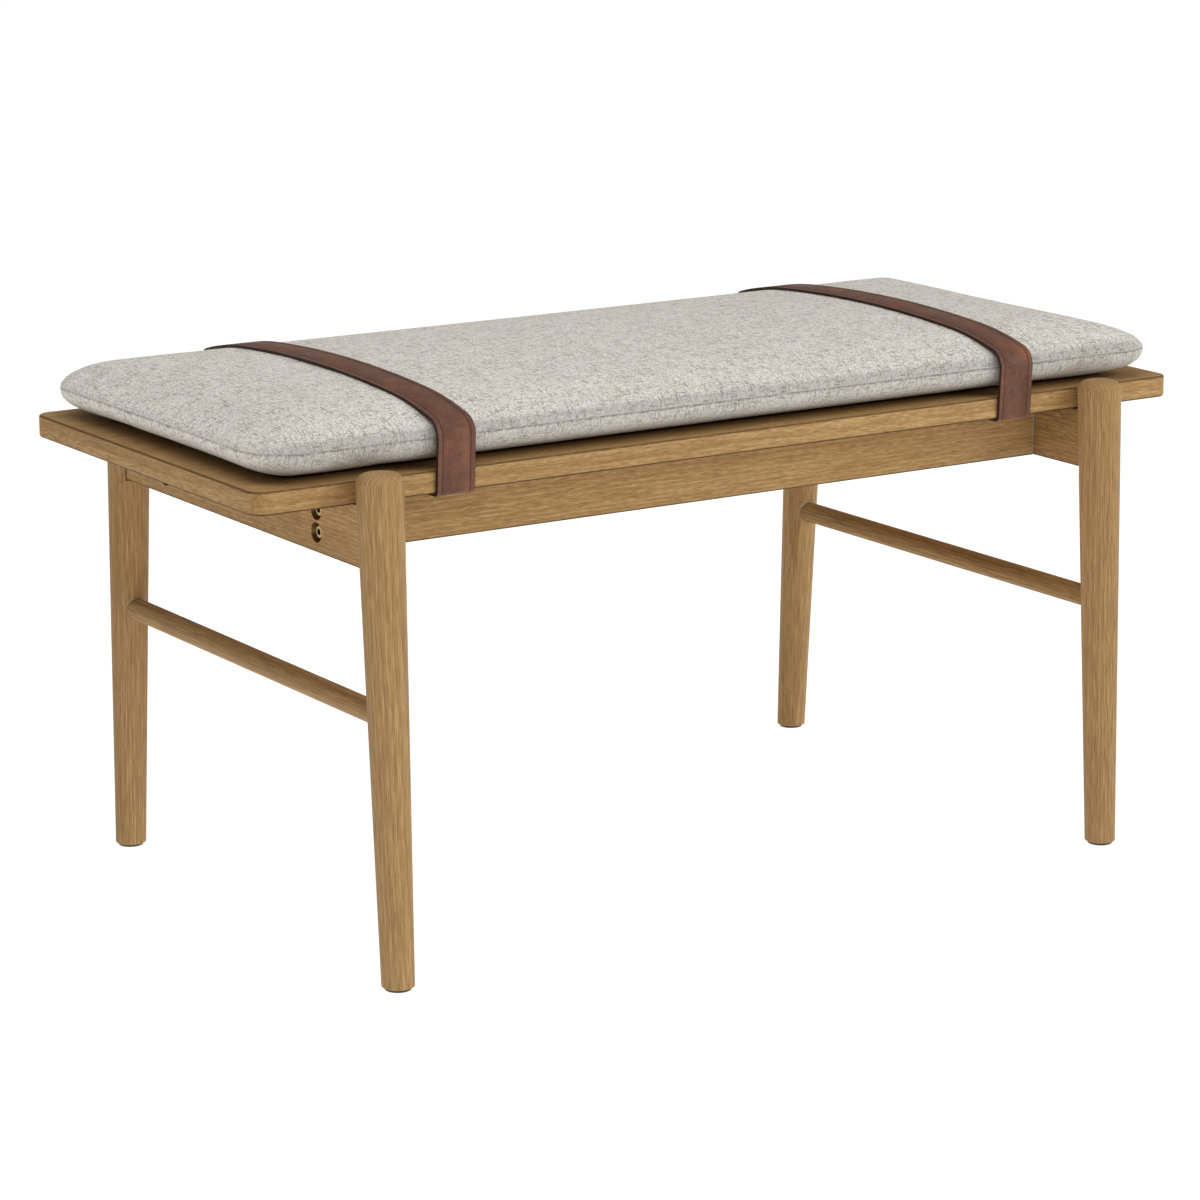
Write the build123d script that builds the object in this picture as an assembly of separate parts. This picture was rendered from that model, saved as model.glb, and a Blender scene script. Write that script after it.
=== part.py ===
# Upholstered bench. A wooden seat board lies on a bolted apron frame that four splayed
# turned legs carry, and two leather straps hold a cushion down on the board.
# Millimetres, +Z up, +X along the seat. The origin is on the floor, under the middle.
import math
import os
from build123d import *

os.makedirs("parts", exist_ok=True)

sides = {"left": -1, "right": 1}
rows = {"front": -1, "back": 1}

# Whole bench
seat_length = 930.0
seat_depth = 394.0
seat_height = 410.0  # the board's top above the floor
leg_spacing = 730.0  # between the left and the right leg axes
overrun = 30.0  # how far a cutting body runs past what it cuts

# Seat board
board_thickness = 19.0
board_corner_radius = 14.0
board_edge_rounding = 2.0

# Legs, tapered and splayed to the front and to the back
leg_top_radius = 19.25  # at the level of the board's top
leg_foot_radius = 13.5
leg_outset = 20.5  # from the board's edge to the leg's axis, at the board's top
leg_splay = 19.0  # how much further out the axis meets the floor
leg_rise = 9.0  # leg top above the board
leg_top_rounding = 9.0
leg_foot_rounding = 1.0

# Foot glides, each nailed into the end of a leg
glide_radius = 11.0
glide_thickness = 2.5
glide_rounding = 0.8
glide_nail_radius = 1.1
glide_nail_length = 14.0
nail_fit = 0.05

# Aprons. The side ones are let into the legs, the long ones stand between them.
apron_thickness = 19.0
apron_height = 51.0
apron_edge_rounding = 1.0
apron_tenon_thickness = 9.0
apron_tenon_height = 33.0
apron_shoulder_share = 0.1  # of the leg's radius: the shoulder stops this far before the axis
apron_tenon_share = 0.45  # of the leg's radius: the tenon ends this far past the axis
tenon_end_gap = 0.5
long_apron_setback = 56.0  # from the board's edge to the long apron's face

# Stretchers, round rails low between the front and the back leg
stretcher_radius = 9.5
stretcher_height = 222.0
stretcher_tenon_radius = 6.5
stretcher_shoulder_share = 0.55  # of the leg's radius, before its axis
stretcher_tenon_share = 0.4  # of the leg's radius, past its axis
stretcher_fit = 0.1

# Frame bolts, sunk in the side aprons with their washers, two at each end of a long apron,
# and the barrel nuts that they screw into
bolt_radius = 3.0
bolt_length = 50.0  # under the head
bolt_spacing = 18.4
bolt_seat_depth = 9.0  # from the side apron's outer face to the washer's seat
bolt_seat_clearance = 0.25  # round the washer
bolt_head_radius = 5.2
bolt_head_height = 5.0
bolt_head_rounding = 0.6
bolt_socket_width = 5.0  # across the flats
bolt_socket_depth = 3.2
bolt_hole_clearance = 0.5
bolt_hole_end_gap = 8.0
washer_radius = 8.2
washer_thickness = 1.6
washer_rounding = 0.5
barrel_nut_radius = 5.0
barrel_nut_length = 13.0
barrel_nut_inset = 32.0  # from the end of the long apron
barrel_nut_slot_width = 1.2
barrel_nut_slot_depth = 1.4
barrel_nut_clearance = 0.25
thread_clearance = 0.1

# Wood screws that hold the board down on the aprons
board_screw_radius = 2.0
board_screw_head_radius = 4.0
board_screw_head_height = 2.8
board_screw_seat = 20.0  # depth of the counterbore in the apron's lower edge
board_screw_bite = 12.0  # into the board
screw_hole_clearance = 0.3
screw_pilot_clearance = 0.05
counterbore_clearance = 1.2
screw_point_share = 0.8  # of the screw's radius is gone at its point
cross_recess_share = 0.3  # of the head's radius: the width of a recess arm
long_apron_screw_shares = (-0.62, 0.0, 0.62)  # of the long apron's half length
side_apron_screw_shares = (-0.35, 0.35)  # of the seat's half depth

# Cushion, a foam core in a sewn cover whose seam runs round its widest line
cushion_length = 921.0
cushion_depth = 400.0
cushion_corner_radius = 46.0
cushion_lower_height = 25.3  # from the flat underside to the seam
cushion_upper_height = 25.0  # from the seam to the end of the shoulder
cushion_crown = 4.8  # rise of the middle above the shoulder
cushion_lower_width = 58.0  # how far the underside is drawn in
cushion_upper_width = 75.0  # how wide the shoulder is
cushion_lower_nose = 18.0  # radius just below the seam
cushion_long_nose = 14.0  # radius just above the seam on the long sides
cushion_short_nose = 7.5  # and on the short ends
cushion_long_draw = 2.0  # how far a long side is drawn in between its corners
cushion_short_draw = 1.5
cushion_least_corner = 3.0
cushion_ridge = 14.0  # half width of the flat on the crown
underside_steps = 5
lower_nose_steps = 5
upper_nose_steps = 6
shoulder_steps = 8
crown_steps = 3
cover_thickness = 1.6
soft_clearance = 0.3

# Zip in the back of the cover, just under the seam
zip_length = 420.0
zip_width = 5.0
zip_thickness = 1.1
zip_drop = 4.5  # below the seam
zip_slider_length = 9.0
zip_slider_width = 6.4
zip_slider_thickness = 1.5
zip_tab_length = 16.0
zip_tab_width = 4.0
zip_tab_rounding = 1.8
zip_end_margin = 12.0

# Leather straps round the cushion and the board's edges
strap_width = 35.0
strap_thickness = 2.4
strap_place = 284.5  # from the middle of the seat to the strap's middle
strap_return = 46.0  # how far the strap runs back under the board
strap_end_corner = 6.0
strap_clearance = 0.3  # over the cushion
strap_screw_radius = 1.75
strap_screw_head_radius = 3.8
strap_screw_head_height = 2.4
strap_screw_bite = 10.0
strap_screw_spacing = 17.0
strap_screw_margin = 13.0  # from the strap's end
strap_washer_radius = 5.5
strap_washer_thickness = 1.0
strap_washer_rounding = 0.3

# Places that follow from those sizes
board_bottom = seat_height - board_thickness
board_edge = seat_depth / 2
leg_x = leg_spacing / 2
apron_bottom = board_bottom - apron_height
apron_middle = board_bottom - apron_height / 2
side_apron_face = leg_x + apron_thickness / 2
bolt_seat_x = side_apron_face - bolt_seat_depth
long_apron_half = leg_x - apron_thickness / 2
long_apron_y = board_edge - long_apron_setback - apron_thickness / 2
leg_tilt = math.atan2(leg_splay, seat_height)
bolt_heights = [apron_middle - bolt_spacing / 2, apron_middle + bolt_spacing / 2]
seam_height = seat_height + soft_clearance + cushion_lower_height
cushion_half_length = cushion_length / 2
cushion_half_depth = cushion_depth / 2
strap_bend_radius = board_edge_rounding + soft_clearance


def leg_axis_y(height):
    return board_edge + leg_outset + leg_splay * (1 - height / seat_height)


def leg_radius(height):
    return leg_foot_radius + (leg_top_radius - leg_foot_radius) * height / seat_height


def block(low, high):
    """A box between two corners."""
    size = [b - a for a, b in zip(low, high)]
    return Pos(*low) * Box(*size, align=(Align.MIN, Align.MIN, Align.MIN))


def rod(radius, start, end):
    """A round bar between two points."""
    axis = Vector(*end) - Vector(*start)
    plane = Plane(origin=Vector(*start), z_dir=axis)
    return plane * Cylinder(radius, axis.length, align=(Align.CENTER, Align.CENTER, Align.MIN))


def rounded_block(low, high, radius, along):
    """A box whose edges along one axis are rounded."""
    body = block(low, high)
    return fillet(body.edges().filter_by(along), radius)


def save(shape, name):
    shape.label = name
    export_step(shape, f"parts/{name}.step")


def group(solids):
    return Compound(children=list(solids))


# Seat board

def board_screw_places():
    """Where screws go up into the board: x, y."""
    places = []
    for row in rows.values():
        for share in long_apron_screw_shares:
            places.append((share * long_apron_half, row * long_apron_y))
    for side in sides.values():
        for share in side_apron_screw_shares:
            places.append((side * leg_x, share * board_edge))
    return places


def strap_screw_places():
    """Where screws go up through the ends of the straps: x, y."""
    depth = board_edge - strap_return + strap_screw_margin
    places = []
    for side in sides.values():
        for row in rows.values():
            for offset in (-strap_screw_spacing / 2, strap_screw_spacing / 2):
                places.append((side * strap_place + offset, row * depth))
    return places


def seat_board():
    low = (-seat_length / 2, -board_edge, board_bottom)
    high = (seat_length / 2, board_edge, seat_height)
    body = rounded_block(low, high, board_corner_radius, Axis.Z)
    rims = body.edges().filter_by_position(Axis.Z, board_bottom, board_bottom)
    rims += body.edges().filter_by_position(Axis.Z, seat_height, seat_height)
    body = fillet(rims, board_edge_rounding)
    for x, y in board_screw_places():
        body -= pilot_hole(x, y, board_screw_radius, board_screw_bite)
    for x, y in strap_screw_places():
        body -= pilot_hole(x, y, strap_screw_radius, strap_screw_bite)
    return body


def pilot_hole(x, y, radius, bite):
    """A blind hole up into the board for a screw."""
    top = board_bottom + bite + screw_hole_clearance
    return rod(radius + screw_pilot_clearance, (x, y, board_bottom - overrun), (x, y, top))


# Legs and what stands under them

def leg(side, row):
    length = (seat_height + leg_rise) / math.cos(leg_tilt)
    under = overrun / math.cos(leg_tilt)
    blank = Cone(
        leg_radius(-overrun),
        leg_radius(seat_height + leg_rise),
        length + under,
        align=(Align.CENTER, Align.CENTER, Align.MIN),
    )
    blank = fillet(blank.edges().group_by(Axis.Z)[-1], leg_top_rounding)
    x = side * leg_x
    foot = Pos(x, row * leg_axis_y(0), 0) * Rot(row * math.degrees(leg_tilt), 0, 0)
    body = foot * Pos(0, 0, -under) * blank
    reach = 2 * leg_foot_radius + overrun
    y = row * leg_axis_y(0)
    body -= block((x - reach, y - reach, -2 * overrun), (x + reach, y + reach, glide_thickness))
    body = fillet(body.edges().group_by(Axis.Z)[0], leg_foot_rounding)
    body -= apron_socket(side, row)
    body -= stretcher_socket(side, row)
    nail = glide_nail_radius + nail_fit
    body -= rod(nail, (x, y, -overrun), (x, y, glide_thickness + glide_nail_length + nail_fit))
    return body


def foot_glide(side, row):
    x, y = side * leg_x, row * leg_axis_y(0)
    disc = rod(glide_radius, (x, y, 0), (x, y, glide_thickness))
    disc = fillet(disc.edges().group_by(Axis.Z)[0], glide_rounding)
    nail = rod(glide_nail_radius, (x, y, glide_thickness), (x, y, glide_thickness + glide_nail_length))
    return disc + nail


# Aprons

def apron_shoulder_y():
    return leg_axis_y(apron_middle) - apron_shoulder_share * leg_radius(apron_middle)


def apron_tenon_y():
    return leg_axis_y(apron_middle) + apron_tenon_share * leg_radius(apron_middle)


def span_y(row, near, far):
    """Two places along Y in rising order, on the front or the back."""
    return sorted((row * near, row * far))


def apron_socket(side, row):
    """What a leg loses to the end of a side apron and to its tenon."""
    x = side * leg_x
    y0, y1 = span_y(row, board_edge - overrun, apron_shoulder_y())
    half = apron_thickness / 2
    housing = block((x - half, y0, apron_bottom), (x + half, y1, board_bottom))
    y0, y1 = span_y(row, board_edge - overrun, apron_tenon_y() + tenon_end_gap)
    half = apron_tenon_thickness / 2
    low = apron_middle - apron_tenon_height / 2
    return housing + block((x - half, y0, low), (x + half, y1, low + apron_tenon_height))


def side_apron(side):
    x = side * leg_x
    half = apron_thickness / 2
    reach = apron_shoulder_y()
    low = (x - half, -reach, apron_bottom)
    high = (x + half, reach, board_bottom)
    body = rounded_block(low, high, apron_edge_rounding, Axis.Y)
    half = apron_tenon_thickness / 2
    reach = apron_tenon_y()
    low = apron_middle - apron_tenon_height / 2
    body += block((x - half, -reach, low), (x + half, reach, low + apron_tenon_height))
    for row in rows.values():
        for height in bolt_heights:
            y = row * long_apron_y
            start = (x - overrun, y, height)
            body -= rod(bolt_radius + bolt_hole_clearance, start, (x + overrun, y, height))
            sink = (side * bolt_seat_x, y, height)
            outer = (side * (side_apron_face + overrun), y, height)
            body -= rod(washer_radius + bolt_seat_clearance, sink, outer)
    for share in side_apron_screw_shares:
        body -= board_screw_hole(x, share * board_edge)
    return body


def long_apron(row):
    y = row * long_apron_y
    half = apron_thickness / 2
    low = (-long_apron_half, y - half, apron_bottom)
    high = (long_apron_half, y + half, board_bottom)
    body = rounded_block(low, high, apron_edge_rounding, Axis.X)
    for side in sides.values():
        for height in bolt_heights:
            end = side * long_apron_half
            depth = long_apron_half - bolt_seat_x - washer_thickness + bolt_length + bolt_hole_end_gap
            start = (end + side * overrun, y, height)
            body -= rod(bolt_radius + bolt_hole_clearance, start, (end - side * depth, y, height))
            body -= barrel_nut_hole(side, row, height)
    for share in long_apron_screw_shares:
        body -= board_screw_hole(share * long_apron_half, y)
    return body


def board_screw_hole(x, y):
    """A counterbored hole up through an apron."""
    seat = apron_bottom + board_screw_seat
    head_radius = board_screw_head_radius + counterbore_clearance
    head = rod(head_radius, (x, y, apron_bottom - overrun), (x, y, seat))
    shank_radius = board_screw_radius + screw_hole_clearance
    return head + rod(shank_radius, (x, y, seat), (x, y, board_bottom + overrun))


# Stretchers

def stretcher_shoulder_y():
    return leg_axis_y(stretcher_height) - stretcher_shoulder_share * leg_radius(stretcher_height)


def stretcher_tenon_y():
    return leg_axis_y(stretcher_height) + stretcher_tenon_share * leg_radius(stretcher_height)


def stretcher_socket(side, row):
    """The stepped hole in a leg that takes the end of a stretcher."""
    x = side * leg_x
    start = (x, row * (board_edge - overrun), stretcher_height)
    wide = rod(stretcher_radius + stretcher_fit, start, (x, row * stretcher_shoulder_y(), stretcher_height))
    end = (x, row * (stretcher_tenon_y() + tenon_end_gap), stretcher_height)
    return wide + rod(stretcher_tenon_radius + stretcher_fit, start, end)


def stretcher(side):
    x = side * leg_x
    reach = stretcher_shoulder_y()
    body = rod(stretcher_radius, (x, -reach, stretcher_height), (x, reach, stretcher_height))
    reach = stretcher_tenon_y()
    return body + rod(stretcher_tenon_radius, (x, -reach, stretcher_height), (x, reach, stretcher_height))


# Frame bolts, washers and barrel nuts

def bolt_places():
    for side in sides.values():
        for row in rows.values():
            for height in bolt_heights:
                yield side, row, height


def bolt(side, row, height):
    y = row * long_apron_y
    seat = bolt_seat_x + washer_thickness
    top = seat + bolt_head_height
    head = rod(bolt_head_radius, (side * seat, y, height), (side * top, y, height))
    rim = head.edges().filter_by_position(Axis.X, side * top, side * top)
    head = fillet(rim, bolt_head_rounding)
    face = Plane(origin=(side * top, y, height), z_dir=(-side, 0, 0))
    flats = RegularPolygon(bolt_socket_width / 2, 6, major_radius=False)
    head -= extrude(face * flats, bolt_socket_depth)
    return head + rod(bolt_radius, (side * seat, y, height), (side * (seat - bolt_length), y, height))


def bolt_washer(side, row, height):
    y = row * long_apron_y
    start = (side * bolt_seat_x, y, height)
    outer = side * (bolt_seat_x + washer_thickness)
    body = rod(washer_radius, start, (outer, y, height))
    body = fillet(body.edges().filter_by_position(Axis.X, outer, outer), washer_rounding)
    reach = side * (bolt_seat_x + overrun)
    return body - rod(bolt_radius + bolt_hole_clearance / 2, start, (reach, y, height))


def barrel_nut_hole(side, row, height):
    """Bored from the long apron's hidden face, a little past the nut."""
    x = side * (long_apron_half - barrel_nut_inset)
    y = row * long_apron_y
    inner = y - row * (apron_thickness / 2 + overrun)
    deep = y + row * (barrel_nut_length / 2 + barrel_nut_clearance)
    return rod(barrel_nut_radius + barrel_nut_clearance, (x, inner, height), (x, deep, height))


def barrel_nut(side, row, height):
    x = side * (long_apron_half - barrel_nut_inset)
    y = row * long_apron_y
    inner = y - row * barrel_nut_length / 2
    body = rod(barrel_nut_radius, (x, inner, height), (x, y + row * barrel_nut_length / 2, height))
    hole = bolt_radius + thread_clearance
    body -= rod(hole, (x - overrun, y, height), (x + overrun, y, height))
    y0, y1 = sorted((inner - row * overrun, inner + row * barrel_nut_slot_depth))
    half = barrel_nut_slot_width / 2
    return body - block((x - overrun, y0, height - half), (x + overrun, y1, height + half))


# Wood screws, pointing up

def wood_screw(x, y, seat, length, radius, head_radius, head_height):
    head = rod(head_radius, (x, y, seat - head_height), (x, y, seat))
    head = fillet(head.edges().group_by(Axis.Z)[0], head_height / 3)
    arm = cross_recess_share * head_radius / 2
    reach = head_radius / 2
    depth = head_height / 2
    bottom = seat - head_height - overrun
    head -= block((x - reach, y - arm, bottom), (x + reach, y + arm, seat - head_height + depth))
    head -= block((x - arm, y - reach, bottom), (x + arm, y + reach, seat - head_height + depth))
    shank = rod(radius, (x, y, seat), (x, y, seat + length))
    point = screw_point_share * radius
    shank = chamfer(shank.edges().group_by(Axis.Z)[-1], point * 2, point)
    return head + shank


def board_screw(x, y):
    seat = apron_bottom + board_screw_seat
    length = board_bottom + board_screw_bite - seat
    return wood_screw(
        x, y, seat, length, board_screw_radius, board_screw_head_radius, board_screw_head_height
    )


def strap_washer_top():
    return board_bottom - 2 * soft_clearance - strap_thickness


def strap_screw(x, y):
    seat = strap_washer_top() - strap_washer_thickness
    length = board_bottom + strap_screw_bite - seat
    return wood_screw(
        x, y, seat, length, strap_screw_radius, strap_screw_head_radius, strap_screw_head_height
    )


def strap_washer(x, y):
    top = strap_washer_top()
    low = top - strap_washer_thickness
    body = rod(strap_washer_radius, (x, y, low), (x, y, top))
    body = fillet(body.edges().group_by(Axis.Z)[0], strap_washer_rounding)
    hole = strap_screw_radius + screw_hole_clearance
    return body - rod(hole, (x, y, low - overrun), (x, y, top + overrun))


# Cushion. Its side is three arcs above the seam and two below it, each tangent to the next,
# with a tighter nose on the short ends than on the long sides. An arc is the place of its
# centre (how far inside the seam line, how far above it), its radius, and the first and the
# last angle of its normal over the horizontal.

def shoulder_arc(width, height, nose, slope):
    """Radius and first normal angle of the arc from the nose to a given width and height."""
    a = width - nose + nose * math.sin(slope)
    b = height - nose * math.cos(slope)
    q = (a * a + b * b) / (2 * (b * math.cos(slope) - a * math.sin(slope)))
    turn = math.atan2(q * math.cos(slope) - b, a + q * math.sin(slope))
    return q + nose, turn


crown_slope = 2 * cushion_crown / (cushion_half_depth - cushion_upper_width)
crown_radius = (cushion_half_depth - cushion_upper_width) / math.sin(crown_slope)
crown_start = math.pi / 2 - crown_slope
lower_radius, lower_turn = shoulder_arc(
    cushion_lower_width, cushion_lower_height, cushion_lower_nose, 0
)


def next_centre(centre, growth, angle):
    """The centre of an arc that goes on from another at this angle with a larger radius."""
    return centre[0] + growth * math.cos(angle), centre[1] - growth * math.sin(angle)


def side_arcs(nose):
    """The cushion's side from its flat underside to the middle of its crown."""
    radius, turn = shoulder_arc(cushion_upper_width, cushion_upper_height, nose, crown_slope)
    above = (nose, 0)
    shoulder = next_centre(above, radius - nose, turn)
    crown = next_centre(shoulder, crown_radius - radius, crown_start)
    below = (cushion_lower_nose, 0)
    under = next_centre(below, lower_radius - cushion_lower_nose, -lower_turn)
    return [
        (under, lower_radius, -math.pi / 2, -lower_turn),
        (below, cushion_lower_nose, -lower_turn, 0),
        (above, nose, 0, turn),
        (shoulder, radius, turn, crown_start),
        (crown, crown_radius, crown_start, math.pi / 2),
    ]


long_arcs = side_arcs(cushion_long_nose)
short_arcs = side_arcs(cushion_short_nose)


def arc_point(arc, angle, skin):
    """Inset and rise of an arc's point, that far inside the cushion's surface."""
    centre, radius = arc[0], arc[1] - skin
    return centre[0] - radius * math.cos(angle), centre[1] + radius * math.sin(angle)


def long_side_point(angle, skin):
    for arc in long_arcs:
        if angle <= arc[3]:
            return arc_point(arc, angle, skin)


def short_end_inset(rise, skin):
    """How far a short end lies inside the seam line at this height above it."""
    for arc in short_arcs:
        if rise <= arc_point(arc, arc[3], skin)[1]:
            share = (rise - arc[0][1]) / (arc[1] - skin)
            return arc_point(arc, math.asin(max(share, -1)), skin)[0]


def crown_angle(inset):
    """The normal's angle on the crown, that far inside the seam line."""
    return math.acos((cushion_half_depth - inset) / crown_radius)


def spaced(start, end, steps):
    return [start + (end - start) * step / steps for step in range(steps)]


def section_angles():
    """Normal angles of the sections, from the flat underside to the ridge."""
    down = -math.pi / 2
    angles = spaced(down, -lower_turn, underside_steps)
    angles += spaced(-lower_turn, 0, lower_nose_steps)
    shoulder_start = long_arcs[3][2]
    angles += spaced(0, shoulder_start, upper_nose_steps)
    angles += spaced(shoulder_start, crown_start, shoulder_steps)
    ridge = cushion_half_depth - cushion_ridge
    angles += [crown_angle(inset) for inset in spaced(cushion_upper_width, ridge, crown_steps)]
    return angles + [crown_angle(ridge)]


def cushion_section(end_inset, side_inset, height):
    """A rounded rectangle whose sides are drawn in between its corners."""
    half_length = cushion_half_length - end_inset
    half_depth = cushion_half_depth - side_inset
    corner = max(cushion_corner_radius - (end_inset + side_inset) / 2, cushion_least_corner)
    fade = half_depth / cushion_half_depth
    x, y = half_length - corner, half_depth - corner
    slant = corner * math.sqrt(0.5)
    with BuildLine(Plane.XY.offset(height)) as outline:
        for sx, sy in ((1, 1), (-1, 1), (-1, -1), (1, -1)):
            near, far = (sx * half_length, sy * y), (sx * x, sy * half_depth)
            middle = (sx * (x + slant), sy * (y + slant))
            if sx * sy < 0:
                near, far = far, near
            ThreePointArc(near, middle, far)
        long_draw = half_depth - cushion_long_draw * fade
        short_draw = half_length - cushion_short_draw * fade
        ThreePointArc((x, half_depth), (0, long_draw), (-x, half_depth))
        ThreePointArc((-half_length, y), (-short_draw, 0), (-half_length, -y))
        ThreePointArc((-x, -half_depth), (0, -long_draw), (x, -half_depth))
        ThreePointArc((half_length, -y), (short_draw, 0), (half_length, y))
    return make_face(outline.line)


def cushion_form(skin):
    """The cushion's shape, that far inside its outer surface all round."""
    faces = []
    for angle in section_angles():
        inset, rise = long_side_point(angle, skin)
        faces.append(cushion_section(short_end_inset(rise, skin), inset, seam_height + rise))
    return loft(faces, ruled=True)


def cushion_cover():
    return cushion_form(0) - cushion_form(cover_thickness)


def cushion_foam():
    return cushion_form(cover_thickness + soft_clearance)


def drawn_in(x):
    """How far the cushion's long side lies inside its corners at this x."""
    straight = cushion_half_length - cushion_corner_radius
    return cushion_long_draw * (1 - (x / straight) ** 2)


def zip_back():
    """Where the zip lies against the cover, which is furthest out at the zip's ends."""
    return cushion_half_depth - drawn_in(zip_length / 2) + soft_clearance


def zip_coil():
    y = zip_back()
    z = seam_height - zip_drop
    low = (-zip_length / 2, y, z - zip_width / 2)
    high = (zip_length / 2, y + zip_thickness, z + zip_width / 2)
    return rounded_block(low, high, zip_thickness / 3, Axis.X)


def zip_slider():
    y = zip_back() + zip_thickness + soft_clearance
    z = seam_height - zip_drop
    x = zip_length / 2 - zip_end_margin
    half = zip_slider_length / 2
    low = (x - half, y, z - zip_slider_width / 2)
    high = (x + half, y + zip_slider_thickness, z + zip_slider_width / 2)
    body = rounded_block(low, high, zip_slider_thickness / 2, Axis.Y)
    low = (x - half - zip_tab_length, y + zip_slider_thickness / 3, z - zip_tab_width / 2)
    high = (x, y + zip_slider_thickness, z + zip_tab_width / 2)
    return body + rounded_block(low, high, zip_tab_rounding, Axis.Y)


# Straps. Half of a strap's line: back under the board, round its edge, up to the cushion
# and over it to the crown. The other half is its mirror image.

def strap_half_line(lift):
    """Points of arcs and lines, as (start, middle or None, end), on the front side."""
    shift = drawn_in(strap_place)
    bend = (board_edge - board_edge_rounding, board_bottom + board_edge_rounding)
    nose = (cushion_half_depth - shift - cushion_lower_nose, seam_height)
    bend_radius = strap_bend_radius + lift
    nose_radius = cushion_lower_nose + strap_clearance + lift
    across, up = bend[0] - nose[0], nose[1] - bend[1]
    reach = math.hypot(across, up)
    lean = math.atan2(up, across) - math.acos((nose_radius - bend_radius) / reach)

    def on(centre, radius, angle):
        return centre[0] + radius * math.cos(angle), centre[1] + radius * math.sin(angle)

    down = -math.pi / 2
    steps = []
    start = (board_edge - strap_return, bend[1] - bend_radius)
    corner = on(bend, bend_radius, down)
    steps.append((start, None, corner))
    leave = on(bend, bend_radius, -lean)
    steps.append((corner, on(bend, bend_radius, (down - lean) / 2), leave))
    touch = on(nose, nose_radius, -lean)
    steps.append((leave, None, touch))
    steps.append((touch, on(nose, nose_radius, -lean / 2), on(nose, nose_radius, 0)))

    def over(angle):
        inset, rise = long_side_point(angle, -strap_clearance - lift)
        return cushion_half_depth - shift - inset, seam_height + rise

    for _, _, first, last in long_arcs[2:4]:
        steps.append((over(first), over((first + last) / 2), over(last)))
    top = over(math.pi / 2)
    steps.append((over(crown_start), over((crown_start + math.pi / 2) / 2), (0, top[1])))
    return steps


def strap_half_face(row):
    """The side view of half a strap, on the front or the back."""
    inner, outer = strap_half_line(0), strap_half_line(strap_thickness)

    def at(point):
        return (0, row * point[0], point[1])

    with BuildLine() as outline:
        for steps in (inner, outer):
            for start, middle, end in steps:
                if middle:
                    ThreePointArc(at(start), at(middle), at(end))
                else:
                    Line(at(start), at(end))
        Line(at(inner[0][0]), at(outer[0][0]))
        Line(at(inner[-1][2]), at(outer[-1][2]))
    return make_face(outline.line)


def strap(side):
    half = strap_width / 2
    body = extrude(strap_half_face(-1), half, dir=(1, 0, 0), both=True)
    body += extrude(strap_half_face(1), half, dir=(1, 0, 0), both=True)
    upright = body.clean().edges().filter_by(Axis.Z)
    corners = upright.filter_by_position(Axis.Z, board_bottom - overrun, board_bottom)
    body = Pos(side * strap_place, 0, 0) * fillet(corners, strap_end_corner)
    for x, y in strap_screw_places():
        if x * side > 0:
            hole = strap_screw_radius + screw_hole_clearance
            body -= rod(hole, (x, y, board_bottom - overrun), (x, y, board_bottom))
    return body


save(seat_board(), "seat_board")
for row_name, row in rows.items():
    save(long_apron(row), f"long_apron_{row_name}")
    for side_name, side in sides.items():
        save(leg(side, row), f"leg_{row_name}_{side_name}")
        save(foot_glide(side, row), f"foot_glide_{row_name}_{side_name}")
for side_name, side in sides.items():
    save(side_apron(side), f"side_apron_{side_name}")
    save(stretcher(side), f"stretcher_{side_name}")
    save(strap(side), f"strap_{side_name}")
save(group(bolt(*place) for place in bolt_places()), "frame_bolts")
save(group(bolt_washer(*place) for place in bolt_places()), "frame_bolt_washers")
save(group(barrel_nut(*place) for place in bolt_places()), "barrel_nuts")
save(group(board_screw(*place) for place in board_screw_places()), "board_screws")
save(group(strap_screw(*place) for place in strap_screw_places()), "strap_screws")
save(group(strap_washer(*place) for place in strap_screw_places()), "strap_washers")
save(cushion_cover(), "cushion_cover")
save(cushion_foam(), "cushion_foam")
save(zip_coil(), "zip_coil")
save(zip_slider(), "zip_slider")
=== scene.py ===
import math

import bpy
import numpy as np
from mathutils import Euler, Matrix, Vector


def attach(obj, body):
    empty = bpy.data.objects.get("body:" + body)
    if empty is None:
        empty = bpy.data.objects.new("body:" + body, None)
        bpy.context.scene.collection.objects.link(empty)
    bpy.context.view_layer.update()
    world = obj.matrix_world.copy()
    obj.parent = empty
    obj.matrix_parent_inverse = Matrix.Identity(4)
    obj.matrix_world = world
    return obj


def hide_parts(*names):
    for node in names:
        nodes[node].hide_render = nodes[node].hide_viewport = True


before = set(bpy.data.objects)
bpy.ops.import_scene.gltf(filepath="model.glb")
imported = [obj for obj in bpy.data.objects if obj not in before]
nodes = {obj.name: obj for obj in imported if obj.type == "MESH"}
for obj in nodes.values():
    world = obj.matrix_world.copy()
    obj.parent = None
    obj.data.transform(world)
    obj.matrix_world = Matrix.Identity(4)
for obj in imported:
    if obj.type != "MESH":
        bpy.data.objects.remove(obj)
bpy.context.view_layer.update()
scene = bpy.context.scene
mm = 0.001
print("frame loaded:", len(nodes), "nodes")


# Small tools

def linear(code):  # sRGB hex to the linear colour that the shaders want
    parts = [int(code[i:i + 2], 16) / 255 for i in (1, 3, 5)]
    parts = [c / 12.92 if c <= 0.04045 else ((c + 0.055) / 1.055) ** 2.4 for c in parts]
    return (*parts, 1.0)


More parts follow.
